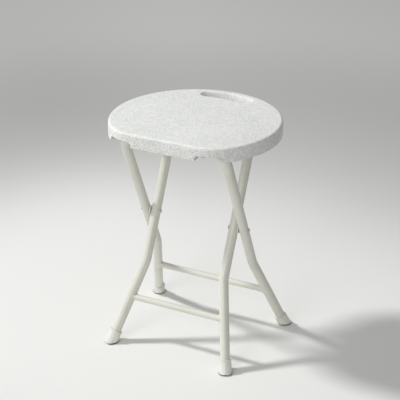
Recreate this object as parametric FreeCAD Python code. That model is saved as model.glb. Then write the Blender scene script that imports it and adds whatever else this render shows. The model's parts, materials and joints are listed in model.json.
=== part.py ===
import FreeCAD, Part
import math
import os

os.makedirs("parts", exist_ok=True)

# A folding stool: a moulded seat on two bent tube frames that cross like scissors.
# X runs along the crossbars, Y from front to back, Z up. Lengths are in millimetres.
# Everything is worked out with the scissor rivets' axis on Y = 0, and moved at the end
# so that the origin is on the floor, in the middle of the stool's length.

# Whole stool
seat_height = 440.0
pivot_height = 240.0
front_bar_drop = 21.5
rear_bar_drop = 30.0
rear_bar_behind_pivot = 78.0

# Frame tubes
leg_diameter = 18.0
leg_wall = 1.2
inner_leg_spacing = 164.0
leg_gap = 3.0
inner_foot_spacing = 244.0
outer_foot_spacing = 282.0
inner_knee_height = 152.0
outer_knee_height = 156.0
knee_bend_radius = 60.0
front_bend_radius = 25.0
rear_bend_radius = 30.0

# Crossbars
crossbar_diameter = 12.0
crossbar_wall = 1.0
crossbar_height = 86.0
weld_size = 1.6

# Scissor rivets and the plastic spacers between the tubes
rivet_diameter = 6.0
rivet_head_diameter = 10.0
rivet_head_height = 2.4
rivet_hole_clearance = 0.05
rivet_head_gap = 0.05
spacer_diameter = 15.0
spacer_play = 0.2

# Foot caps
cap_length = 24.5
cap_toe_reach = 3.0
cap_top_diameter = 22.6
cap_bottom_diameter = 25.4
cap_facets = 14
cap_sole_thickness = 3.5
cap_bore_clearance = 0.1
cap_collar_height = 2.2
cap_collar_step = 0.7
cap_base_height = 3.8
cap_base_step = 0.4
cap_floor_diameter = 21.0
cap_bevel_height = 2.6
cap_bevel_reach = 4.6

# Seat shell
seat_radius = 158.5
seat_centre_behind_pivot = 5.0
seat_front_reach = 121.0
seat_corner_radius = 75.0
seat_edge_radius = 5.0
plate_thickness = 4.0
skirt_depth = 26.0
skirt_thickness = 4.0
cavity_edge_radius = 2.5

# Leg notches in the front skirt, with a wall on each side
notch_depth = 10.0
notch_inner_margin = 9.5
notch_outer_margin = 0.8
notch_corner_radius = 7.0
notch_return_depth = 14.0

# Ribs under the seat
rib_thickness = 3.0
rib_depth = 12.0
rib_reach_behind_bar = 25.0
front_rib_lift = 2.5
cross_rib_shares = (0.28, 0.51, 0.74)

# Handle slot near the back edge
slot_length = 104.0
slot_width = 28.0
slot_rim_width = 16.0
slot_near_bow_radius = 400.0
slot_end_share = 0.48
slot_edge_radius = 2.5
slot_flange_thickness = 3.0
slot_flange_depth = 22.0

# Saddles and straps that hold the front top bar, on which the seat turns
bar_clearance = 0.3
saddle_width = 15.0
saddle_rise = 4.0
strap_thickness = 3.0
strap_reach = 24.0
fastener_offset = 18.0
boss_diameter = 10.0

# Open clips that drop over the rear top bar
clip_spacing = 72.0
clip_width = 16.0
clip_thickness = 3.2
clip_plate_thickness = 3.0
clip_bar_rise = 14.0
clip_front_wrap_angle = 50.0
clip_rear_wrap_angle = 108.0
clip_lip_radius = 2.2

# Self-tapping screws
screw_diameter = 3.0
screw_length = 11.0
screw_head_diameter = 7.0
screw_head_height = 2.2
screw_recess_width = 0.9
screw_recess_length = 3.6
screw_recess_depth = 1.1
pilot_clearance = 0.1
screw_hole_clearance = 0.3
boss_floor = 1.5

# Cutting solids run this far past what they cut
overrun = 20.0

# Sizes worked out from those above
front_bar_height = seat_height - front_bar_drop
rear_bar_height = seat_height - rear_bar_drop
leg_radius = leg_diameter / 2
crossbar_radius = crossbar_diameter / 2
inner_leg_x = inner_leg_spacing / 2
outer_leg_x = inner_leg_x + leg_diameter + leg_gap
lean = math.atan2(rear_bar_behind_pivot, rear_bar_height - pivot_height)
front_bar_y = (pivot_height - front_bar_height) * math.tan(lean)
rear_bar_y = rear_bar_behind_pivot
skirt_bottom = seat_height - skirt_depth
plate_bottom = seat_height - plate_thickness
notch_top = skirt_bottom + notch_depth
notch_inner_x = inner_leg_x - leg_radius - notch_inner_margin
notch_outer_x = outer_leg_x + leg_radius + notch_outer_margin
rib_bottom = plate_bottom - rib_depth
saddle_bottom = front_bar_height + saddle_rise
saddle_x = notch_inner_x - saddle_width / 2
bar_bore_radius = leg_radius + bar_clearance
clip_plate_top = rear_bar_height + clip_bar_rise

X_AXIS = FreeCAD.Vector(1, 0, 0)
Y_AXIS = FreeCAD.Vector(0, 1, 0)
Z_AXIS = FreeCAD.Vector(0, 0, 1)
vec = FreeCAD.Vector


def middle_of_length(pieces):
    """The middle of the whole stool from front to back."""
    limits = [shape.optimalBoundingBox(False, False) for shapes in pieces.values() for shape in shapes]
    return (min(box.YMin for box in limits) + max(box.YMax for box in limits)) / 2


def save(name, shapes, shift):
    """Move the solids of one sub-part to the stool's own origin and write them."""
    solids = []
    for shape in shapes:
        solids.extend(shape.Solids)
    moved = []
    for solid in solids:
        piece = solid.copy()
        piece.translate(shift)
        moved.append(piece)
    whole = moved[0] if len(moved) == 1 else Part.makeCompound(moved)
    whole.exportStep(os.path.join("parts", name + ".step"))
    volume = sum(solid.Volume for solid in moved)
    valid = all(solid.isValid() for solid in moved)
    print(f"{name}: {len(moved)} solid(s), {volume:.0f} mm3, valid {valid}")


def box(x_span, y_span, z_span):
    """A block between two limits on each axis."""
    low = vec(x_span[0], y_span[0], z_span[0])
    return Part.makeBox(x_span[1] - x_span[0], y_span[1] - y_span[0], z_span[1] - z_span[0], low)


def rod(radius, start, end):
    """A round bar between two points."""
    return Part.makeCylinder(radius, (end - start).Length, start, end - start)


def frame_point(x, along, side):
    """A point in a frame's plane: along is measured up the plane from the rivets' axis.
    side is 1 for the inner frame, whose top is at the back, and -1 for the outer one."""
    return vec(x, side * along * math.sin(lean), pivot_height + along * math.cos(lean))


def bend(before, corner, after, radius):
    """The arc that rounds a corner of a path, and its two tangent points."""
    back = (before - corner).normalize()
    ahead = (after - corner).normalize()
    half_angle = back.getAngle(ahead) / 2
    reach = radius / math.tan(half_angle)
    middle = (back + ahead).normalize() * (radius / math.sin(half_angle) - radius)
    start = corner + back * reach
    end = corner + ahead * reach
    return Part.Arc(start, corner + middle, end).toShape(), start, end


def path_wire(corners, radii):
    """Straight runs joined by tangent arcs."""
    edges = []
    last = corners[0]
    for before, corner, after, radius in zip(corners, corners[1:], corners[2:], radii):
        arc, start, end = bend(before, corner, after, radius)
        edges.append(Part.LineSegment(last, start).toShape())
        edges.append(arc)
        last = end
    edges.append(Part.LineSegment(last, corners[-1]).toShape())
    return Part.Wire(edges)


def swept_rod(wire, radius):
    """A round section swept along a path."""
    first = wire.Edges[0]
    start = first.valueAt(first.FirstParameter)
    heading = first.tangentAt(first.FirstParameter)
    ring = Part.Wire([Part.makeCircle(radius, start, heading)])
    return wire.makePipeShell([ring], True, False)


def leg_line(leg_x, foot_x, knee_height, side, mirror):
    """The floor point and the knee point of one lower leg, on its axis."""
    knee = frame_point(mirror * leg_x, (knee_height - pivot_height) / math.cos(lean), side)
    floor = frame_point(mirror * foot_x, -pivot_height / math.cos(lean), side)
    return floor, knee


def tube_end(floor, knee):
    """Where the tube stops above the floor, so that its rim clears the cap's sole."""
    up = (knee - floor).normalize()
    tilt = up.getAngle(Z_AXIS)
    return floor + up * ((cap_sole_thickness + leg_radius * math.sin(tilt)) / math.cos(tilt))


def frame_path(leg_x, foot_x, knee_height, side):
    """The bent axis of a frame tube, from one foot over the top bar to the other."""
    bar_height = rear_bar_height if side > 0 else front_bar_height
    bar_bend_radius = rear_bend_radius if side > 0 else front_bend_radius
    top = (bar_height - pivot_height) / math.cos(lean)
    left_floor, left_knee = leg_line(leg_x, foot_x, knee_height, side, -1)
    right_floor, right_knee = leg_line(leg_x, foot_x, knee_height, side, 1)
    corners = [tube_end(left_floor, left_knee), left_knee, frame_point(-leg_x, top, side),
               frame_point(leg_x, top, side), right_knee, tube_end(right_floor, right_knee)]
    return path_wire(corners, [knee_bend_radius, bar_bend_radius, bar_bend_radius, knee_bend_radius])


def frame_tube(leg_x, foot_x, knee_height, side):
    """A frame tube, drilled for the two scissor rivets."""
    wire = frame_path(leg_x, foot_x, knee_height, side)
    solid = swept_rod(wire, leg_radius)
    tube = solid.cut(swept_rod(wire, leg_radius - leg_wall))
    reach = leg_x + leg_radius + overrun
    drill_radius = rivet_diameter / 2 + rivet_hole_clearance
    drill = rod(drill_radius, vec(-reach, 0, pivot_height), vec(reach, 0, pivot_height))
    section = math.pi * (leg_radius ** 2 - (leg_radius - leg_wall) ** 2)
    print(f"tube before drilling {tube.Volume:.0f} mm3, section times length {section * wire.Length:.0f} mm3")
    return tube.cut(drill)


def crossbar_ends(leg_x, foot_x, knee_height, side):
    """The crossbar's two ends, on the axes of the splayed lower legs."""
    floor, knee = leg_line(leg_x, foot_x, knee_height, side, 1)
    share = crossbar_height / (knee.z - floor.z)
    right = floor + (knee - floor) * share
    return vec(-right.x, right.y, right.z), right


def leg_rods(leg_x, foot_x, knee_height, side, radius):
    """The straight lower legs as solid bars of a given radius."""
    rods = []
    for mirror in (-1, 1):
        floor, knee = leg_line(leg_x, foot_x, knee_height, side, mirror)
        rods.append(rod(radius, floor, knee))
    return rods


def crossbar(leg_x, foot_x, knee_height, side):
    """A thin tube between the legs, its ends shaped to sit on them."""
    left, right = crossbar_ends(leg_x, foot_x, knee_height, side)
    bar = rod(crossbar_radius, left, right).cut(rod(crossbar_radius - crossbar_wall, left, right))
    return bar.cut(leg_rods(leg_x, foot_x, knee_height, side, leg_radius))


def crossbar_welds(leg_x, foot_x, knee_height, side):
    """The bead of weld round each end of a crossbar."""
    left, right = crossbar_ends(leg_x, foot_x, knee_height, side)
    collar = rod(crossbar_radius + weld_size, left, right).cut(rod(crossbar_radius, left, right))
    beads = []
    thick_legs = leg_rods(leg_x, foot_x, knee_height, side, leg_radius + weld_size)
    for thick, leg in zip(thick_legs, leg_rods(leg_x, foot_x, knee_height, side, leg_radius)):
        beads.append(collar.common(thick).cut(leg))
    return beads


def domed_head(radius, height, base, outward):
    """A low round head: a slice of a ball, flat side on the base point."""
    ball_radius = (radius ** 2 + height ** 2) / (2 * height)
    centre = base + outward * (height - ball_radius)
    ball = Part.makeSphere(ball_radius, centre)
    return ball.common(Part.makeCylinder(radius, height, base, outward))


def pivot_rivet(mirror):
    """A rivet through both tubes, headed on the inside and the outside."""
    radius = rivet_diameter / 2
    inner = inner_leg_x - leg_radius - rivet_head_gap
    outer = outer_leg_x + leg_radius + rivet_head_gap
    start = vec(mirror * inner, 0, pivot_height)
    end = vec(mirror * outer, 0, pivot_height)
    shank = rod(radius, start, end)
    head_radius = rivet_head_diameter / 2
    inside = domed_head(head_radius, rivet_head_height, start, X_AXIS * -mirror)
    outside = domed_head(head_radius, rivet_head_height, end, X_AXIS * mirror)
    return shank.fuse([inside, outside]).removeSplitter()


def pivot_spacer(mirror):
    """The plastic washer that keeps the two tubes apart."""
    middle = (inner_leg_x + outer_leg_x) / 2
    half = leg_gap / 2 - spacer_play
    start = vec(mirror * (middle - half), 0, pivot_height)
    end = vec(mirror * (middle + half), 0, pivot_height)
    bore = rod(rivet_diameter / 2 + rivet_hole_clearance, start, end)
    return rod(spacer_diameter / 2, start, end).cut(bore)


def polygon_ring(radius, centre, normal, across, sides):
    """A regular polygon round a leg's axis."""
    beside = normal.cross(across)
    points = []
    for count in range(sides + 1):
        turn = 2 * math.pi * count / sides
        points.append(centre + (across * math.cos(turn) + beside * math.sin(turn)) * radius)
    return Part.makePolygon(points)


def above_floor(centre, reach, height):
    """The space above the floor round one foot."""
    return box((centre.x - reach, centre.x + reach), (centre.y - reach, centre.y + reach), (0, height))


def foot_cap(leg_x, foot_x, knee_height, side, mirror):
    """A flared plastic cap: faceted sleeve, round collar and base. Its end is square to the
    leg, what would reach below the floor is worn away to a flat, and a bevel rings the flat."""
    floor, knee = leg_line(leg_x, foot_x, knee_height, side, mirror)
    up = (knee - floor).normalize()
    across = up.cross(X_AXIS).normalize()
    top_radius = cap_top_diameter / 2
    bottom_radius = cap_bottom_diameter / 2
    low_end = floor - up * cap_toe_reach
    top_end = floor + up * cap_length
    low_ring = polygon_ring(bottom_radius, low_end, up, across, cap_facets)
    top_ring = polygon_ring(top_radius, top_end, up, across, cap_facets)
    sleeve = Part.makeLoft([low_ring, top_ring], True, True)
    base = Part.makeCylinder(bottom_radius + cap_base_step, cap_base_height, low_end, up)
    collar_start = top_end - up * cap_collar_height
    collar = Part.makeCylinder(top_radius + cap_collar_step, cap_collar_height, collar_start, up)
    reach = cap_length + cap_bottom_diameter
    standing = sleeve.fuse([base, collar]).common(above_floor(floor, reach, reach))
    floor_radius = cap_floor_diameter / 2
    slab = above_floor(floor, reach, cap_bevel_height)
    bevel = Part.makeCone(floor_radius, floor_radius + cap_bevel_reach, cap_bevel_height, floor)
    bore_radius = leg_radius + cap_bore_clearance
    bore = rod(bore_radius, tube_end(floor, knee), top_end + up * overrun)
    return standing.cut([slab.cut(bevel), bore])


def seat_outline(inset, low, height):
    """A prism of the seat's plan: a round back cut off by a straight front with big corners."""
    radius = seat_radius - inset
    corner = seat_corner_radius - inset
    centre_y = seat_centre_behind_pivot
    corner_y = corner - (seat_front_reach - inset)
    drop = corner_y - centre_y
    corner_x = math.sqrt((radius - corner) ** 2 - drop ** 2)
    scale = radius / (radius - corner)
    join_x = corner_x * scale
    join_y = centre_y + drop * scale
    front_y = corner_y - corner
    turn = math.atan2(drop, corner_x)
    middle_turn = (turn - math.pi / 2) / 2
    middle_x = corner_x + corner * math.cos(middle_turn)
    middle_y = corner_y + corner * math.sin(middle_turn)
    back = vec(0, centre_y + radius, low)
    right_join = vec(join_x, join_y, low)
    left_join = vec(-join_x, join_y, low)
    right_front = vec(corner_x, front_y, low)
    left_front = vec(-corner_x, front_y, low)
    edges = [Part.Arc(right_join, back, left_join).toShape(),
             Part.Arc(left_join, vec(-middle_x, middle_y, low), left_front).toShape(),
             Part.LineSegment(left_front, right_front).toShape(),
             Part.Arc(right_front, vec(middle_x, middle_y, low), right_join).toShape()]
    return Part.Face(Part.Wire(edges)).extrude(vec(0, 0, height))


def edges_at(shape, height):
    """The edges of a shape that lie flat at one height."""
    found = []
    for edge in shape.Edges:
        limits = edge.BoundBox
        if limits.ZLength < 1e-6 and abs(limits.ZMax - height) < 1e-6:
            found.append(edge)
    return found


def seat_shell():
    """The seat's top and skirt, open below, with a rounded upper edge."""
    outer = seat_outline(0, skirt_bottom, skirt_depth)
    outer = outer.makeFillet(seat_edge_radius, edges_at(outer, seat_height))
    cavity = seat_outline(skirt_thickness, skirt_bottom, skirt_depth - plate_thickness)
    cavity = cavity.makeFillet(cavity_edge_radius, edges_at(cavity, plate_bottom))
    return outer.cut(cavity)


def handle_hole(margin, low, high):
    """The handle slot's shape, grown by a margin: its far side runs along the seat's rim,
    its near side is bowed a little, and its ends are rounded by a share of their own width."""
    far_radius = seat_radius - slot_rim_width + margin
    near_y = seat_centre_behind_pivot + seat_radius - slot_rim_width - slot_width - margin
    half = slot_length / 2 + margin
    height = high - low
    far_end_y = seat_centre_behind_pivot + math.sqrt(far_radius ** 2 - half ** 2)
    near_end_y = near_y - slot_near_bow_radius + math.sqrt(slot_near_bow_radius ** 2 - half ** 2)
    end_radius = (far_end_y - near_end_y) * slot_end_share
    disc = Part.makeCylinder(far_radius, height, vec(0, seat_centre_behind_pivot, low))
    bow = Part.makeCylinder(slot_near_bow_radius, height, vec(0, near_y - slot_near_bow_radius, low))
    strip_back = seat_centre_behind_pivot + seat_radius
    strip = box((-half, half), (seat_centre_behind_pivot, strip_back), (low, high))
    hole = disc.common(strip).cut(bow)
    corners = []
    for edge in hole.Edges:
        limits = edge.BoundBox
        if limits.XLength < 1e-6 and limits.YLength < 1e-6:
            corners.append(edge)
    return hole.makeFillet(end_radius, corners)


def leg_notch(mirror):
    """The gap in the front skirt that the folded legs lie in."""
    x_span = sorted((mirror * notch_inner_x, mirror * notch_outer_x))
    cutter = box(x_span, (-seat_front_reach - overrun, front_bar_y), (skirt_bottom - overrun, notch_top))
    corners = []
    for edge in cutter.Edges:
        limits = edge.BoundBox
        if limits.YLength > overrun and abs(limits.ZMin - notch_top) < 1e-6:
            corners.append(edge)
    return cutter.makeFillet(notch_corner_radius, corners)


def long_ribs():
    """The ribs from front to back on both sides of each notch: as deep as the skirt at the
    notch's ends, then as deep as the saddles, then shallow."""
    front = -seat_front_reach
    inner_return = front + notch_return_depth
    outer_return = front_bar_y - leg_radius
    back = rear_bar_y + rib_reach_behind_bar
    ribs = []
    for mirror in (-1, 1):
        inner = sorted((mirror * notch_inner_x, mirror * (notch_inner_x - rib_thickness)))
        outer = sorted((mirror * notch_outer_x, mirror * (notch_outer_x + rib_thickness)))
        ribs.append(box(inner, (front, back), (rib_bottom, plate_bottom)))
        ribs.append(box(outer, (front, back), (rib_bottom, plate_bottom)))
        ribs.append(box(inner, (front, front_bar_y + strap_reach), (saddle_bottom, plate_bottom)))
        ribs.append(box(outer, (front, front_bar_y + strap_reach), (saddle_bottom, plate_bottom)))
        ribs.append(box(inner, (front, inner_return), (skirt_bottom, plate_bottom)))
        ribs.append(box(outer, (front, outer_return), (skirt_bottom, plate_bottom)))
        saddle_inner_x = notch_inner_x - saddle_width
        side = sorted((mirror * saddle_inner_x, mirror * (saddle_inner_x + rib_thickness)))
        strap_span = (front_bar_y - strap_reach, front_bar_y + strap_reach)
        ribs.append(box(side, strap_span, (saddle_bottom, plate_bottom)))
    return ribs


def cross_ribs():
    """The ribs from side to side between the two top bars."""
    reach = seat_radius
    ribs = []
    for share in cross_rib_shares:
        y = front_bar_y + (rear_bar_y - front_bar_y) * share
        y_span = (y - rib_thickness / 2, y + rib_thickness / 2)
        ribs.append(box((-reach, reach), y_span, (rib_bottom, plate_bottom)))
    y = front_bar_y - strap_reach
    front_rib_bottom = notch_top + front_rib_lift
    y_span = (y, y + rib_thickness)
    ribs.append(box((-notch_outer_x, notch_outer_x), y_span, (front_rib_bottom, plate_bottom)))
    y = rear_bar_y + rib_reach_behind_bar
    ribs.append(box((-reach, reach), (y - rib_thickness, y), (rib_bottom, plate_bottom)))
    return ribs


def fastener_places():
    """Where the screws go: across the width, along the depth, and the face they clamp."""
    straps = []
    clips = []
    for mirror in (-1, 1):
        for step in (-fastener_offset, fastener_offset):
            straps.append(vec(mirror * saddle_x, front_bar_y + step, saddle_bottom))
            clips.append(vec(mirror * clip_spacing / 2, rear_bar_y + step, clip_plate_top))
    return straps, clips


def seat():
    """The moulded seat: shell, ribs, screw bosses, saddles, leg notches and handle slot."""
    body = seat_shell()
    inside_height = skirt_depth + overrun - plate_thickness / 2
    inside = seat_outline(skirt_thickness / 2, skirt_bottom - overrun, inside_height)
    added = long_ribs() + cross_ribs()
    straps, clips = fastener_places()
    for place in straps + clips:
        added.append(Part.makeCylinder(boss_diameter / 2, plate_bottom - place.z, place, Z_AXIS))
    webs = added[0].fuse(added[1:]).common(inside)
    flange = handle_hole(slot_flange_thickness, seat_height - slot_flange_depth, plate_bottom)
    body = body.fuse([webs, flange])
    slot = handle_hole(0, skirt_bottom - overrun, seat_height + overrun)
    cutters = [slot, leg_notch(-1), leg_notch(1)]
    reach = notch_inner_x + overrun
    bar_start = vec(-reach, front_bar_y, front_bar_height)
    bar_end = vec(reach, front_bar_y, front_bar_height)
    cutters.append(rod(bar_bore_radius, bar_start, bar_end))
    for place in straps + clips:
        deep = min(screw_length, plate_bottom - place.z - boss_floor)
        below = place - Z_AXIS * overrun
        cutters.append(Part.makeCylinder(screw_diameter / 2 + pilot_clearance, deep + overrun, below))
    body = body.cut(cutters).removeSplitter()
    rim = []
    for edge in edges_at(body, seat_height):
        limits = edge.BoundBox
        if limits.YMin > rear_bar_y and limits.XLength < slot_length:
            rim.append(edge)
    return body.makeFillet(slot_edge_radius, rim)


def plate_with_holes(x, y, width, low, high):
    """A flat plate across a bar, with a screw hole on each side of it."""
    plate = box((x - width / 2, x + width / 2), (y - strap_reach, y + strap_reach), (low, high))
    hole_radius = screw_diameter / 2 + screw_hole_clearance
    holes = []
    for step in (-fastener_offset, fastener_offset):
        place = vec(x, y + step, low - overrun)
        holes.append(Part.makeCylinder(hole_radius, high - low + 2 * overrun, place))
    return plate.cut(holes)


def hinge_strap(mirror):
    """The strap screwed under a saddle, which holds the front top bar in it."""
    x = mirror * saddle_x
    half = saddle_width / 2
    outer_radius = bar_bore_radius + strap_thickness
    plate = plate_with_holes(x, front_bar_y, saddle_width, saddle_bottom - strap_thickness, saddle_bottom)
    start = vec(x - half, front_bar_y, front_bar_height)
    end = vec(x + half, front_bar_y, front_bar_height)
    band = rod(outer_radius, start, end)
    cheeks = box((x - half, x + half), (front_bar_y - outer_radius, front_bar_y + outer_radius),
                 (front_bar_height, saddle_bottom))
    lower = band.cut(box((x - saddle_width, x + saddle_width), (front_bar_y - overrun, front_bar_y + overrun),
                         (front_bar_height, front_bar_height + overrun)))
    throat_span = (front_bar_y - bar_bore_radius, front_bar_y + bar_bore_radius)
    throat = box((x - saddle_width, x + saddle_width), throat_span, (front_bar_height, saddle_bottom + overrun))
    bar_start = vec(x - saddle_width, front_bar_y, front_bar_height)
    bar_end = vec(x + saddle_width, front_bar_y, front_bar_height)
    bore = rod(bar_bore_radius, bar_start, bar_end)
    return plate.fuse([lower, cheeks]).cut([throat, bore]).removeSplitter()


def ring_point(radius, angle):
    """A point round the rear top bar, its angle in degrees from straight up, forward positive."""
    turn = math.radians(angle)
    return vec(0, rear_bar_y - radius * math.sin(turn), rear_bar_height + radius * math.cos(turn))


def catch_clip(mirror):
    """The open clip over the rear top bar: a hooked ring under a screwed plate."""
    x = mirror * clip_spacing / 2
    half = clip_width / 2
    inner = bar_bore_radius
    outer = bar_bore_radius + clip_thickness
    front = clip_front_wrap_angle
    rear = -clip_rear_wrap_angle
    middle = (front + rear) / 2
    edges = [Part.Arc(ring_point(inner, front), ring_point(inner, middle), ring_point(inner, rear)).toShape(),
             Part.LineSegment(ring_point(inner, rear), ring_point(outer, rear)).toShape(),
             Part.Arc(ring_point(outer, rear), ring_point(outer, middle), ring_point(outer, front)).toShape(),
             Part.LineSegment(ring_point(outer, front), ring_point(inner, front)).toShape()]
    hook = Part.Face(Part.Wire(edges)).extrude(vec(clip_width, 0, 0))
    hook.translate(vec(x - half, 0, 0))
    lip_centre = ring_point(outer - clip_lip_radius, rear)
    lip = rod(clip_lip_radius, lip_centre + X_AXIS * (x - half), lip_centre + X_AXIS * (x + half))
    plate = plate_with_holes(x, rear_bar_y, clip_width, clip_plate_top - clip_plate_thickness, clip_plate_top)
    post_span = (rear_bar_y - inner, rear_bar_y + inner)
    post = box((x - half, x + half), post_span, (rear_bar_height, clip_plate_top))
    bar_start = vec(x - clip_width, rear_bar_y, rear_bar_height)
    bar_end = vec(x + clip_width, rear_bar_y, rear_bar_height)
    bore = rod(inner, bar_start, bar_end)
    below = box((x - clip_width, x + clip_width), (rear_bar_y - overrun, rear_bar_y + overrun),
                (rear_bar_height - overrun, rear_bar_height + inner / 2))
    return plate.fuse([post.cut(below), hook, lip]).cut(bore).removeSplitter()


def screw(place, grip):
    """A pan-head screw that clamps a plate of the given thickness to the face above it."""
    seat_face = place - Z_AXIS * grip
    head = domed_head(screw_head_diameter / 2, screw_head_height, seat_face, Z_AXIS * -1)
    shank_length = grip + min(screw_length, plate_bottom - place.z - boss_floor) - pilot_clearance
    shank = Part.makeCylinder(screw_diameter / 2, shank_length, seat_face, Z_AXIS)
    low = seat_face.z - screw_head_height
    long_half = screw_recess_length / 2
    thin_half = screw_recess_width / 2
    slots = []
    for x_half, y_half in ((long_half, thin_half), (thin_half, long_half)):
        slots.append(box((place.x - x_half, place.x + x_half), (place.y - y_half, place.y + y_half),
                         (low - overrun, low + screw_recess_depth)))
    return shank.fuse(head).cut(slots).removeSplitter()


def build():
    """Make every sub-part, find the middle of the stool, and write them all."""
    inner = (inner_leg_x, inner_foot_spacing / 2, inner_knee_height, 1)
    outer = (outer_leg_x, outer_foot_spacing / 2, outer_knee_height, -1)
    straps, clips = fastener_places()
    pieces = {"seat": [seat()]}
    pieces["hinge_strap_screws"] = [screw(place, strap_thickness) for place in straps]
    pieces["catch_clip_screws"] = [screw(place, clip_plate_thickness) for place in clips]
    for side_name, mirror in (("left", -1), ("right", 1)):
        pieces[side_name + "_hinge_strap"] = [hinge_strap(mirror)]
        pieces[side_name + "_catch_clip"] = [catch_clip(mirror)]
        pieces[side_name + "_pivot_rivet"] = [pivot_rivet(mirror)]
        pieces[side_name + "_pivot_spacer"] = [pivot_spacer(mirror)]
        pieces["front_" + side_name + "_foot_cap"] = [foot_cap(*inner, mirror)]
        pieces["rear_" + side_name + "_foot_cap"] = [foot_cap(*outer, mirror)]
    for frame_name, sizes in (("inner", inner), ("outer", outer)):
        pieces[frame_name + "_frame_tube"] = [frame_tube(*sizes)]
        pieces[frame_name + "_crossbar"] = [crossbar(*sizes)]
        pieces[frame_name + "_crossbar_welds"] = crossbar_welds(*sizes)
    pivot_y = -middle_of_length(pieces)
    print(f"rivets' axis at y {pivot_y:.3f}, front top bar at y {pivot_y + front_bar_y:.3f}")
    for name, shapes in pieces.items():
        save(name, shapes, vec(0, pivot_y, 0))


build()
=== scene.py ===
# %% [markdown]
# # A folding stool
# The stool has a moulded plastic seat with a leather-like grain, two bent tube frames that
# cross like scissors, thin crossbars, rivets and flared foot caps. Its solids come ready made,
# at their real size, so this lesson is about what a camera sees: how each finish is built from
# nodes, how a weld bead is modelled, and how a plain studio is lit.

# %% Load the stool's solids
import json
import math

import bpy
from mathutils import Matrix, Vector


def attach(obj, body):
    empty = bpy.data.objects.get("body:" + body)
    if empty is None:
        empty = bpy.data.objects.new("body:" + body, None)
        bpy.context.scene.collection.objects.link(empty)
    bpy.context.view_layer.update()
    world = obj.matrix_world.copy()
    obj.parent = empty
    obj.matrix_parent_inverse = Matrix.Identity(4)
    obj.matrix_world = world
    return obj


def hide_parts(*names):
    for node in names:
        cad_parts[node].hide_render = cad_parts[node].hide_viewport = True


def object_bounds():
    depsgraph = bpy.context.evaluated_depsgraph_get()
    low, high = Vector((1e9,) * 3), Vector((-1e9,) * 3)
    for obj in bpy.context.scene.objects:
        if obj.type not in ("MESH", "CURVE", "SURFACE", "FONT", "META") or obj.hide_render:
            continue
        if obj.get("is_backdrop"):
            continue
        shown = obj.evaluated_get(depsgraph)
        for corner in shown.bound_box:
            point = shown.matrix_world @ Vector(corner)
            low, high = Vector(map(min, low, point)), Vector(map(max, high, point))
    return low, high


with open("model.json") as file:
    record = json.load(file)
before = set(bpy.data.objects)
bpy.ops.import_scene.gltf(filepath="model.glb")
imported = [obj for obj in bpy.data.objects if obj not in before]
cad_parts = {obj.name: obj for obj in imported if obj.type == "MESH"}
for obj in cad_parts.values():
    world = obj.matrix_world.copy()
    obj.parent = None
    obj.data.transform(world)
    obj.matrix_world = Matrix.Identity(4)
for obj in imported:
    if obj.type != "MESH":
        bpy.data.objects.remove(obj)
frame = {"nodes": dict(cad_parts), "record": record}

cad_low, cad_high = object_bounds()
print("pieces:", len(frame["nodes"]), "size in metres:", [round(v, 3) for v in cad_high - cad_low])

# %% [markdown]
# ## Smooth surfaces
# The solids arrive as triangles. A bent tube should look round although it is made of flat
# facets, and the skirt's lower edge should stay crisp. Shading every face smooth and splitting
# the edges that turn more than a given angle does both, and the shape itself stays as it is. A
# Weld modifier comes first, because an exported mesh repeats its points along every edge.
# Normals that a mesh brings along would win over all of this, so they are removed.

# %% Shade the pieces
MILLIMETRE = 0.001
SHARP_ANGLE = math.radians(24)
WELD_DISTANCE = 0.002 * MILLIMETRE


def smooth(piece):
    """Shade a piece round, with crisp edges where its surface turns sharply."""
    mesh = piece.data
    if "custom_normal" in mesh.attributes:
        mesh.attributes.remove(mesh.attributes["custom_normal"])
    mesh.polygons.foreach_set("use_smooth", [True] * len(mesh.polygons))
    weld = piece.modifiers.new("weld", "WELD")
    weld.merge_threshold = WELD_DISTANCE
    split = piece.modifiers.new("crisp edges", "EDGE_SPLIT")
    split.split_angle = SHARP_ANGLE


for node in frame["nodes"].values():
    smooth(node)
print("shaded", len(frame["nodes"]), "pieces")

# %% [markdown]
# ## Colours as light
# A colour is easiest to pick as it reads on a screen, with levels from 0 to 255. Blender's
# sockets take light instead, and the two don't run alike: a middle grey on the screen is only a
# fifth of white's light. The standard sRGB curve turns one into the other. It is straight near
# black and a power above that.

# %% Screen colours
def colour(red, green, blue):
    """A colour as read on a screen, 0 to 255, turned into light."""
    light = []
    for level in (red, green, blue):
        share = level / 255
        light.append(share / 12.92 if share <= 0.04045 else ((share + 0.055) / 1.055) ** 2.4)
    return (*light, 1)


print("a screen grey of 128 is", round(colour(128, 128, 128)[0], 2), "of white's light")

# %% [markdown]
# ## Writing shaders as maths
# A material is a tree of nodes. Placing nodes by hand hides the idea behind a page of links, so
# a small class wraps an output socket and lets Python's own operators add the Math nodes. A
# second class holds one material and adds any other node through one method.

# %% Sockets that can be added and multiplied
class Wire:
    """An output socket of a material, used as a number."""

    def __init__(self, finish, socket):
        self.finish = finish
        self.socket = socket

    def __add__(self, other):
        return self.finish.maths("ADD", self, other)

    def __sub__(self, other):
        return self.finish.maths("SUBTRACT", self, other)

    def __rsub__(self, other):
        return self.finish.maths("SUBTRACT", other, self)

    def __mul__(self, other):
        return self.finish.maths("MULTIPLY", self, other)

    def __pow__(self, power):
        return self.finish.maths("POWER", self, power)

    __radd__ = __add__


print("a wire can be used with + - * and **")

# %% A material and its nodes
BEVEL_SAMPLES = 6


def fill_ramp(ramp, stops):
    """Put a ramp's two stops in place: each has a position and a colour."""
    for element, (position, shade) in zip(ramp.elements, stops):
        element.position = position
        element.color = shade


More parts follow.
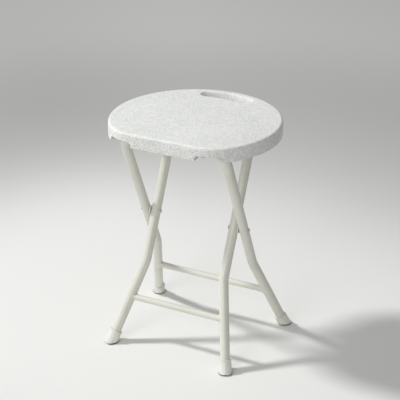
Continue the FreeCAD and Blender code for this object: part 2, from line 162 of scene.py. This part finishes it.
class Finish:
    """One material, built from nodes."""

    def __init__(self, name):
        self.material = bpy.data.materials.new(name)
        self.material.use_nodes = True
        self.tree = self.material.node_tree
        self.surface = self.tree.nodes["Principled BSDF"]

    def node(self, kind, settings=None, inputs=None, output=0):
        """Add a node: its settings first, then the values or wires of its sockets."""
        made = self.tree.nodes.new("ShaderNode" + kind)
        for name, value in (settings or {}).items():
            if name == "stops":
                fill_ramp(made.color_ramp, value)
            else:
                setattr(made, name, value)
        self.feed(made, inputs or {})
        return Wire(self, made.outputs[output])

    def feed(self, node, inputs):
        """Give a node's sockets their values or wires."""
        for name, value in inputs.items():
            if isinstance(value, Wire):
                self.tree.links.new(value.socket, node.inputs[name])
            else:
                node.inputs[name].default_value = value

    def maths(self, operation, first, second):
        """One step of arithmetic on numbers or wires."""
        return self.node("Math", {"operation": operation}, {0: first, 1: second})

    def ramp(self, value, stops):
        """An even blend from one stop's colour to another's."""
        return self.node("ValToRGB", {"stops": stops}, {"Fac": value})

    def between(self, value, start, end):
        """0 at the start and before it, 1 at the end and past it, and a smooth step between."""
        return self.node("MapRange", {"interpolation_type": "SMOOTHSTEP"},
                         {"Value": value, "From Min": start, "From Max": end})

    def mix(self, factor, first, second):
        """One colour blended into another: a Mix node's colours are inputs 6 and 7, output 2."""
        return self.node("Mix", {"data_type": "RGBA"}, {0: factor, 6: first, 7: second}, 2)

    def place(self):
        """The point of the surface, in metres, fixed to the piece."""
        return self.node("TexCoord", output="Object")

    def parts(self, vector):
        """A vector's three numbers."""
        split = self.node("SeparateXYZ", inputs={0: vector})
        return [Wire(self, socket) for socket in split.socket.node.outputs]

    def noise(self, place, size, detail=2.0, distortion=0.0):
        """Soft random shades with features of a given size in metres."""
        return self.node("TexNoise", inputs={"Vector": place, "Scale": 1 / size, "Detail": detail,
                                             "Distortion": distortion})

    def bumps(self, height, depth, normal=None):
        """A normal that a height bends, its depth in metres."""
        inputs = {"Height": height, "Distance": depth}
        if normal is not None:
            inputs["Normal"] = normal
        return self.node("Bump", inputs=inputs)

    def soft_edge(self, radius):
        """A normal that turns smoothly over the piece's edges, as a worn mould or paint does."""
        return self.node("Bevel", {"samples": BEVEL_SAMPLES}, {"Radius": radius})

    def finish(self, **inputs):
        """Set the surface's sockets; an underscore in a name stands for a space."""
        self.feed(self.surface, {name.replace("_", " "): value for name, value in inputs.items()})
        return self.material


print("a finish can make:", [name for name in vars(Finish) if not name.startswith("_")])

# %% [markdown]
# ## The seat's grained plastic
# The real seat is a white injection moulding. Its steel mould is etched with a leather
# pattern: soft creases some seven millimetres apart, drawn out in one direction here and in
# another there, over a slow swell, with small pebbles between them. Modelling each crease would
# take millions of faces, and they are only a few tenths of a millimetre deep, so they are a
# Bump. A crease is where a drawn-out noise passes its middle level: the absolute value folds
# the noise there. Voronoi cells give the pebbles, because the distance to the nearest cell edge
# is low in the valleys. The relief is multiplied by a number that rises over the rim, because the
# skirt's grain is over twice as deep as the top's, and falls inside, where the slot's walls and
# the ribs are nearly smooth. Handling makes the high places a little smoother than the valleys,
# where fine dust stays.
# The tint is also painted darker in the creases and the pebbles' valleys, as painted shade of the
# grain.

# %% Seat plastic
# Each layer of the grain has a size, and a share that it adds to the relief.
CREASE_GAP, CREASE_SHARE = 7.5 * MILLIMETRE, 0.5
SWELL, SWELL_SHARE = 13.0 * MILLIMETRE, 0.6
PEBBLE, PEBBLE_SHARE = 4.5 * MILLIMETRE, 0.5
SPECK, SPECK_SHARE = 1.2 * MILLIMETRE, 0.12
RELIEF_MIDDLE = 1.0
GRAIN_DEPTH = 0.4 * MILLIMETRE
# The noise level where a crease ends, how far creases are drawn out, and their directions.
CREASE_WIDTH = 0.24
CREASE_STRETCH = (1.0, 2.4, 1.5)
CREASE_TURNS = (math.radians(20), math.radians(100))
# Below the rim the grain is the top's times HIDDEN_GRAIN within the first radius, and times
# SKIRT_GRAIN outside the second. Heights and radii are in metres.
SKIRT_GRAIN, HIDDEN_GRAIN = 2.5, 0.15
RIM_TOP, RIM_FOOT = 0.4398, 0.4345
CORE_RADIUS, SKIRT_RADIUS = 0.125, 0.133
SEAT_EDGE = 1.0 * MILLIMETRE
PATCH = 45 * MILLIMETRE
SEAT_WHITE = colour(245, 246, 243)
# The darker tint, put in the creases and the pebbles' valleys as painted shade.
SEAT_PAINTED_SHADE = colour(228, 229, 225)
SEAT_ROUGHNESS = 0.66
HANDLED, DUSTY = 0.08, 0.06


def creases(finish, place, turn):
    """0 along soft creases that run in one direction, rising to 1 between them."""
    drawn = finish.node("Mapping", {"vector_type": "TEXTURE"},
                        {"Vector": place, "Rotation": (0, 0, turn), "Scale": CREASE_STRETCH})
    wavy = finish.noise(drawn, CREASE_GAP, detail=1.5, distortion=0.6)
    folded = finish.maths("ABSOLUTE", wavy * 2 - 1, 0)
    return finish.between(folded, 0.0, CREASE_WIDTH)


def seat_plastic():
    finish = Finish("grained seat plastic")
    place = finish.place()
    patch = finish.noise(place, PATCH, detail=3.0)
    either = finish.between(patch, start=0.42, end=0.58)
    one, other = (creases(finish, place, turn) for turn in CREASE_TURNS)
    crease = one * (1 - either) + other * either
    swell = finish.noise(place, SWELL, detail=1.0)
    valley = finish.node("TexVoronoi", {"feature": "DISTANCE_TO_EDGE"},
                         {"Vector": place, "Scale": 1 / PEBBLE, "Randomness": 1.0})
    pebble = finish.between(valley, start=0.02, end=0.3)
    speck = finish.noise(place, SPECK, detail=1.0)
    relief = (crease * CREASE_SHARE + swell * SWELL_SHARE + pebble * PEBBLE_SHARE
              + speck * SPECK_SHARE - RELIEF_MIDDLE)
    x, y, z = finish.parts(place)
    side = finish.between(z, RIM_TOP, RIM_FOOT)
    outer = finish.between((x * x + y * y) ** 0.5, CORE_RADIUS, SKIRT_RADIUS)
    below_rim = outer * (SKIRT_GRAIN - HIDDEN_GRAIN) + HIDDEN_GRAIN
    height = relief * (1 + side * (below_rim - 1))
    # Painted shade: the tint is darker in the creases and the pebbles' valleys, and varies at
    # random by patch.
    shade = crease * 0.4 + pebble * 0.25 + patch * 0.35
    tint = finish.ramp(shade, [(0.2, SEAT_PAINTED_SHADE), (0.8, SEAT_WHITE)])
    rough = SEAT_ROUGHNESS - crease * HANDLED + patch * DUSTY
    normal = finish.bumps(height, GRAIN_DEPTH, finish.soft_edge(SEAT_EDGE))
    return finish.finish(Base_Color=tint, Roughness=rough, Normal=normal)


SEAT_PLASTIC = seat_plastic()
print("seat plastic has", len(SEAT_PLASTIC.node_tree.nodes), "nodes")

# %% [markdown]
# ## Powder-coated tube
# The frames are steel tube with an ivory powder coat: satin, warm, and never quite flat. The
# powder melts into a faint orange peel about a millimetre wide. The film is a little darker
# and yellower low down, where shoes and damp floors reach it. The peel is only hundredths of a
# millimetre deep, so a small noise through a Bump is enough. The two tints are mixed by a slow
# noise and by the height, so that no edge shows between them.

# %% Powder coat
PEEL = 1.3 * MILLIMETRE
PEEL_DEPTH = 0.012 * MILLIMETRE
PAINT_CLOUD = 60 * MILLIMETRE
SCUFF_HEIGHT = 90 * MILLIMETRE
SCUFF_SHARE = 0.15
IVORY = colour(224, 223, 213)
IVORY_WORN = colour(217, 215, 203)
POWDER_ROUGHNESS, CLOUDED, SCUFFED = 0.3, 0.1, 0.08


def powder_coat():
    finish = Finish("ivory powder coat")
    place = finish.place()
    peel = finish.noise(place, PEEL, detail=1.0)
    cloud = finish.noise(place, PAINT_CLOUD, detail=3.0)
    height = finish.parts(place)[2]
    low = finish.between(height, SCUFF_HEIGHT, 0.0)
    worn = finish.between(cloud + low * SCUFF_SHARE, start=0.45, end=0.85)
    tint = finish.mix(worn, IVORY, IVORY_WORN)
    rough = POWDER_ROUGHNESS + cloud * CLOUDED + worn * SCUFFED
    return finish.finish(Base_Color=tint, Roughness=rough, Normal=finish.bumps(peel, PEEL_DEPTH))


POWDER_COAT = powder_coat()
print("powder coat has", len(POWDER_COAT.node_tree.nodes), "nodes")

# %% [markdown]
# ## Caps, brackets and spacers
# The foot caps, the straps and clips under the seat and the spacers at the rivets are all
# injection mouldings, but each is its own plastic. One function makes them, with a colour, a
# shine and a grain of their own. A cap is bevelled where it meets the floor, and its last two
# or three millimetres are painted dark: partly grime on that bevel, partly painted shade of the
# shadowed gap under it. It could be painted on each cap, but a smooth step on the height puts
# it on all four at once.

# %% Small mouldings
# The caps' last millimetres are painted dark: partly grime, partly painted shade of the shadowed
# gap under the bevel.
GRIME_AND_SHADE_HEIGHT = 2.3 * MILLIMETRE
GRIME_AND_SHADE_FADE = 1.0 * MILLIMETRE
GRIME_AND_PAINTED_SHADE = colour(56, 46, 31)
GRIME_AND_SHADE_SMEAR = 3 * MILLIMETRE
SMALL_EDGE = 0.35 * MILLIMETRE
MOULD_CLOUD = 14 * MILLIMETRE
RUBBED = 0.05


def moulded(name, clean, dull, roughness, grain, grain_depth, grime_and_shade=0.0):
    """A moulded plastic in two close colours, with a fine grain and perhaps grime and painted
    shade at the floor.
    """
    finish = Finish(name)
    place = finish.place()
    fine = finish.noise(place, grain, detail=2.0)
    cloud = finish.noise(place, MOULD_CLOUD, detail=3.0, distortion=0.6)
    tint = finish.mix(finish.between(cloud, start=0.35, end=0.75), clean, dull)
    # Painted shade and grime: the last millimetres above the floor darken.
    if grime_and_shade:
        height = finish.parts(place)[2]
        smear = finish.noise(place, GRIME_AND_SHADE_SMEAR, detail=3.0) - 0.5
        uneven = height + smear * GRIME_AND_SHADE_FADE
        grime_and_shade_mask = finish.between(uneven, GRIME_AND_SHADE_HEIGHT + GRIME_AND_SHADE_FADE, GRIME_AND_SHADE_HEIGHT)
        tint = finish.mix(grime_and_shade_mask * grime_and_shade, tint, GRIME_AND_PAINTED_SHADE)
    rough = roughness + cloud * CLOUDED - fine * RUBBED
    normal = finish.bumps(fine, grain_depth, finish.soft_edge(SMALL_EDGE))
    return finish.finish(Base_Color=tint, Roughness=rough, Normal=normal)


CAP_PLASTIC = moulded("foot cap plastic", clean=colour(234, 233, 226), dull=colour(226, 224, 215),
                      roughness=0.45, grain=0.9 * MILLIMETRE, grain_depth=0.02 * MILLIMETRE,
                      grime_and_shade=0.95)
BRACKET_PLASTIC = moulded("bracket plastic", clean=colour(222, 223, 220),
                          dull=colour(213, 214, 210), roughness=0.38,
                          grain=0.8 * MILLIMETRE, grain_depth=0.015 * MILLIMETRE)
SPACER_PLASTIC = moulded("spacer plastic", clean=colour(226, 224, 214),
                         dull=colour(212, 209, 198), roughness=0.45,
                         grain=0.6 * MILLIMETRE, grain_depth=0.02 * MILLIMETRE)
print("moulded plastics have", [len(made.node_tree.nodes) for made in
                                (CAP_PLASTIC, BRACKET_PLASTIC, SPACER_PLASTIC)], "nodes")

# %% [markdown]
# ## Plated steel
# Rivets and screws are zinc-plated: metal, slightly cloudy, with fine scratches from tumbling
# and driving. The rivets also carry a thin pale film of lacquer and dust, which half hides the
# metal, while the screws under the seat stay bright. A stretched noise gives the scratches. It
# feeds both the roughness and a very shallow bump, so that a scratch dulls the shine where it
# also bends it.

# %% Plated steel
SCRATCH = 0.9 * MILLIMETRE
SCRATCH_STRETCH = (1.0, 6.0, 0.7)
SCRATCH_DEPTH = 0.008 * MILLIMETRE
ZINC_CLOUD = 3.5 * MILLIMETRE
SCRATCHED = 0.2


def plated_steel(name, bright, dull, roughness, metal):
    """Plated steel in two close shades, with fine scratches."""
    finish = Finish(name)
    place = finish.place()
    stretched = finish.node("Mapping", inputs={"Vector": place, "Scale": SCRATCH_STRETCH})
    scratch = finish.noise(stretched, SCRATCH, detail=4.0, distortion=0.4)
    cloud = finish.noise(place, ZINC_CLOUD, detail=3.0)
    tint = finish.mix(finish.between(cloud, start=0.35, end=0.7), bright, dull)
    rough = roughness + scratch * SCRATCHED + cloud * CLOUDED
    return finish.finish(Base_Color=tint, Metallic=metal, Roughness=rough,
                         Normal=finish.bumps(scratch, SCRATCH_DEPTH))


RIVET_STEEL = plated_steel("plated rivet", bright=colour(230, 228, 219),
                           dull=colour(212, 210, 200), roughness=0.38, metal=0.5)
SCREW_STEEL = plated_steel("plated screw", bright=colour(205, 205, 203),
                           dull=colour(170, 170, 168), roughness=0.22, metal=1.0)
print("plated steels have", [len(made.node_tree.nodes) for made in (RIVET_STEEL, SCREW_STEEL)],
      "nodes")

# %% [markdown]
# ## Dress the pieces
# Every solid gets the finish of its own slot in the parts list, so a piece can't be missed.

# %% Give each piece its finish
FINISHES = {"seat_plastic": SEAT_PLASTIC, "powder_coat": POWDER_COAT, "cap_plastic": CAP_PLASTIC,
            "bracket_plastic": BRACKET_PLASTIC, "spacer_plastic": SPACER_PLASTIC,
            "rivet_steel": RIVET_STEEL, "screw_steel": SCREW_STEEL}


def dress(piece, material):
    piece.data.materials.clear()
    piece.data.materials.append(material)


for part in frame["record"]["subparts"]:
    dress(frame["nodes"][part["node"]], FINISHES[part["material_slot"]])

# %% [markdown]
# ## Weld beads
# Each end of a crossbar is welded to a leg. A real bead is a row of small overlapping puddles,
# each frozen over the one before. A bump could draw the ripples, but not in the bead's outline,
# so it is modelled, as a ring of small discs that follows the line where the two round tubes
# meet: a point on the crossbar's surface is moved along the crossbar until it is one leg radius
# from the leg's axis, which is a square root away.

# %% Rippled weld beads
CROSSBAR_RADIUS = 6.0 * MILLIMETRE
LEG_RADIUS = 9.0 * MILLIMETRE
BEAD_RADIUS = 1.55 * MILLIMETRE
RIPPLES = 22
STATIONS = 176
BEAD_SIDES = 12
RIPPLE_DEPTH = 0.16
SMALL_TURN = 0.01
# Each frame's leg above its knee, its foot, its knee's height, and the side its top leans to.
FRAMES = {"inner": (0.082, 0.122, 0.152, 1), "outer": (0.103, 0.141, 0.156, -1)}
PIVOT = Vector((0, -0.020096, 0.24))
CROSSBAR_HEIGHT = 0.086
LEAN_RATIO = 78 / 170


def leg_axis(leg_x, foot_x, knee_height, side, mirror):
    """The point where the crossbar meets a leg's axis, and the axis's direction."""
    lean = side * LEAN_RATIO
    knee = Vector((mirror * leg_x, lean * (knee_height - PIVOT.z) + PIVOT.y, knee_height))
    foot = Vector((mirror * foot_x, -lean * PIVOT.z + PIVOT.y, 0))
    return foot.lerp(knee, CROSSBAR_HEIGHT / knee_height), (knee - foot).normalized()


def meeting_point(angle, centre, axis, mirror):
    """The point where the crossbar's surface meets the leg's, at an angle round the crossbar."""
    around = Vector((0, math.cos(angle), math.sin(angle))) * CROSSBAR_RADIUS
    slope = 1 - axis.x ** 2
    along = around.dot(axis)
    middle = axis.x * along / slope
    reach = math.sqrt(middle ** 2 + (LEG_RADIUS ** 2 + along ** 2 - CROSSBAR_RADIUS ** 2) / slope)
    return centre + around + Vector((middle - mirror * reach, 0, 0))


def bead_ring(station, centre, axis, mirror):
    """One disc of a bead: a ring of points square to the bead's run."""
    turn = 2 * math.pi * station / STATIONS
    middle = meeting_point(turn, centre, axis, mirror)
    ahead = meeting_point(turn + SMALL_TURN, centre, axis, mirror)
    run = (ahead - middle).normalized()
    out = (middle - centre).normalized()
    beside = run.cross(out).normalized()
    out = beside.cross(run)
    phase = station * RIPPLES / STATIONS % 1
    radius = BEAD_RADIUS * (1 - RIPPLE_DEPTH * phase ** 2)
    spins = [2 * math.pi * count / BEAD_SIDES for count in range(BEAD_SIDES)]
    return [middle + (out * math.cos(spin) + beside * math.sin(spin)) * radius for spin in spins]


def bead_mesh(frame_name):
    """Both beads of one crossbar as one mesh."""
    points, faces = [], []
    for mirror in (-1, 1):
        centre, axis = leg_axis(*FRAMES[frame_name], mirror)
        first = len(points)
        for station in range(STATIONS):
            points += bead_ring(station, centre, axis, mirror)
        for station in range(STATIONS):
            here = first + station * BEAD_SIDES
            after = first + (station + 1) % STATIONS * BEAD_SIDES
            for count in range(BEAD_SIDES):
                beyond = (count + 1) % BEAD_SIDES
                faces.append((here + count, here + beyond, after + beyond, after + count))
    mesh = bpy.data.meshes.new(frame_name + "_weld_beads")
    mesh.from_pydata(points, [], faces)
    mesh.polygons.foreach_set("use_smooth", [True] * len(mesh.polygons))
    return mesh


for frame_name in FRAMES:
    beads = bpy.data.objects.new(frame_name + "_weld_beads", bead_mesh(frame_name))
    bpy.context.scene.collection.objects.link(beads)
    dress(beads, POWDER_COAT)
    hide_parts(frame_name + "_crossbar_welds")
    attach(beads, frame_name + "_frame")
print("beads of", RIPPLES, "ripples each")

# %% [markdown]
# ## The floor
# The stool stands on a vast pale floor that is nearly white round it. Further away its colour is
# painted shade: it turns grey, as a backdrop does where less light reaches it, and gets a little
# lighter again far off. A curved backdrop would give that to one camera only. Here the distance
# from the stool gives it from every side: a power of the distance, divided by itself plus one,
# climbs smoothly from 0 to 1. The painted shade turns grey a little later on the left, and a
# little less on the right, so the direction from the stool blends two such colours. It reaches
# far enough that only a very low camera sees its end. It is stage, not part of the stool.

# %% Floor and its colour
FLOOR_REACH = 60.0
FLOOR_ROUGHNESS = 0.9
FLOOR_NEAR = colour(243, 243, 240)
# For each side's painted shade: where the floor is half grey, how fast it turns, its darkest and
# its far shade.
FLOOR_LEFT_PAINTED_SHADE = (0.83, 6.7, colour(169, 169, 166), colour(183, 183, 180))
FLOOR_RIGHT_PAINTED_SHADE = (0.75, 4.7, colour(180, 180, 177), colour(198, 198, 195))
RISE_START, RISE_END = 1.25, 2.05
LEFT_TURN, RIGHT_TURN = -0.76, -0.45


def floor_side_painted_shade(finish, distance, half_way, steepness, dark, far):
    """The floor's colour on one side: near, then painted shade, then a little lighter again."""
    steep = (distance * (1 / half_way)) ** steepness
    fade = finish.maths("DIVIDE", steep, steep + 1)
    rise = finish.between(distance, RISE_START, RISE_END)
    return finish.mix(fade, FLOOR_NEAR, finish.mix(rise, dark, far))


def floor_paint_and_painted_shade():
    finish = Finish("studio floor")
    place = finish.place()
    distance = finish.node("VectorMath", {"operation": "LENGTH"}, {0: place}, "Value")
    turn = finish.maths("DIVIDE", finish.parts(place)[0], distance)
    left, right = (floor_side_painted_shade(finish, distance, *side) for side in (FLOOR_LEFT_PAINTED_SHADE, FLOOR_RIGHT_PAINTED_SHADE))
    # Painted shade: the floor's colour turns grey away from the stool, differently left and right.
    tint = finish.mix(finish.between(turn, LEFT_TURN, RIGHT_TURN), left, right)
    return finish.finish(Base_Color=tint, Roughness=FLOOR_ROUGHNESS)


def floor():
    mesh = bpy.data.meshes.new("floor")
    corners = [(-FLOOR_REACH, -FLOOR_REACH, 0), (FLOOR_REACH, -FLOOR_REACH, 0),
               (FLOOR_REACH, FLOOR_REACH, 0), (-FLOOR_REACH, FLOOR_REACH, 0)]
    mesh.from_pydata(corners, [], [(0, 1, 2, 3)])
    piece = bpy.data.objects.new("floor", mesh)
    bpy.context.scene.collection.objects.link(piece)
    dress(piece, floor_paint_and_painted_shade())
    piece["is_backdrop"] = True


floor()
print("floor reaches", FLOOR_REACH, "m to each side")

# %% [markdown]
# ## Light
# The main light comes from the left, a little in front and some forty-five degrees up. It stands
# seven metres away and is small, so the feet cast shadows with a clear edge that blur further out.
# A wide fill from the front keeps the skirt and the legs pale, and the world fills the rest.
# A lamp's level here is what it adds to a white surface that faces it. The levels add up to
# about one on a level surface, so a colour renders as it is written.

# %% Lamps
KEY_DIRECTION = Vector((-0.676, -0.153, 0.721))
KEY_DISTANCE = 7.3
KEY_SIZE = 0.88
KEY_LEVEL = 0.67
FILL_DIRECTION = Vector((-0.1, -0.9, 0.42))
FILL_DISTANCE = 5.0
FILL_SIZE = 2.8
FILL_LEVEL = 0.26
STOOL_MIDDLE = Vector((0, 0, 0.22))


def softbox(name, direction, distance, size, level):
    """A round lamp aimed at the stool. Its light thins out with the square of the distance."""
    lamp = bpy.data.lights.new(name, "AREA")
    lamp.shape = "DISK"
    lamp.size = size
    lamp.energy = level * (math.pi * distance) ** 2
    piece = bpy.data.objects.new(name, lamp)
    toward = direction.normalized()
    piece.location = STOOL_MIDDLE + toward * distance
    piece.rotation_mode = "QUATERNION"
    piece.rotation_quaternion = (-toward).to_track_quat("-Z", "Y")
    bpy.context.scene.collection.objects.link(piece)


softbox("key", KEY_DIRECTION, KEY_DISTANCE, KEY_SIZE, KEY_LEVEL)
softbox("fill", FILL_DIRECTION, FILL_DISTANCE, FILL_SIZE, FILL_LEVEL)
print("lamps:", [lamp.name for lamp in bpy.data.lights])

# %% [markdown]
# ## World
# The world lights the stool evenly from everywhere. The camera and the reflections see it darker,
# as grey as the far floor, which hides the horizon and gives the round tubes their darker edges.
# The Light Path node tells such rays from the others.

# %% World
WORLD_COLOUR = colour(236, 237, 238)
WORLD_LEVEL = 0.41
HORIZON_LEVEL = 0.25

world = bpy.data.worlds.new("studio")
world.use_nodes = True
bpy.context.scene.world = world
nodes = world.node_tree.nodes
sky = nodes["Background"]
sky.inputs["Color"].default_value = WORLD_COLOUR
ray = nodes.new("ShaderNodeLightPath")
seen = nodes.new("ShaderNodeMath")
seen.operation = "MAXIMUM"
strength = nodes.new("ShaderNodeMapRange")
strength.inputs["To Min"].default_value = WORLD_LEVEL
strength.inputs["To Max"].default_value = HORIZON_LEVEL
links = [(ray.outputs["Is Camera Ray"], seen.inputs[0]),
         (ray.outputs["Is Glossy Ray"], seen.inputs[1]),
         (seen.outputs[0], strength.inputs["Value"]),
         (strength.outputs[0], sky.inputs["Strength"])]
for source, target in links:
    world.node_tree.links.new(source, target)
print("world level", WORLD_LEVEL, "and", HORIZON_LEVEL, "where it is seen")

# %% [markdown]
# ## Camera
# The camera stands high and to the right of the straight front edge, and far enough away that
# the legs hardly converge. Its place was worked out from the legs, feet and crossbars of the
# picture that the stool was measured from.

# %% Camera
CAMERA_TURN = math.radians(27.71)
CAMERA_RISE = math.radians(24.3)
CAMERA_DISTANCE = 2.46021
CAMERA_TARGET = Vector((0.01164, -0.0201, 0.28123))
CAMERA_LENS = 119.6
SENSOR_WIDTH = 36.0

level_share = math.cos(CAMERA_RISE)
back = Vector((math.sin(CAMERA_TURN) * level_share, -math.cos(CAMERA_TURN) * level_share,
               math.sin(CAMERA_RISE)))
camera = bpy.data.objects.new("camera", bpy.data.cameras.new("camera"))
camera.data.lens = CAMERA_LENS
camera.data.sensor_width = SENSOR_WIDTH
camera.location = CAMERA_TARGET + back * CAMERA_DISTANCE
camera.rotation_mode = "QUATERNION"
camera.rotation_quaternion = (-back).to_track_quat("-Z", "Y")
bpy.context.scene.collection.objects.link(camera)
bpy.context.scene.camera = camera
bpy.context.scene.view_settings.view_transform = "Standard"
print("camera at", [round(v, 3) for v in camera.location])

# %% [markdown]
# ## Finish
# The size of what is shown is set against the size of the solids, and how much it grows is
# printed, so that the two can be compared.

# %% Print the sizes
seen_low, seen_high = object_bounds()
growth = (seen_high - seen_low) - (cad_high - cad_low)
print("grows by", [round(side / MILLIMETRE, 2) for side in growth], "mm")
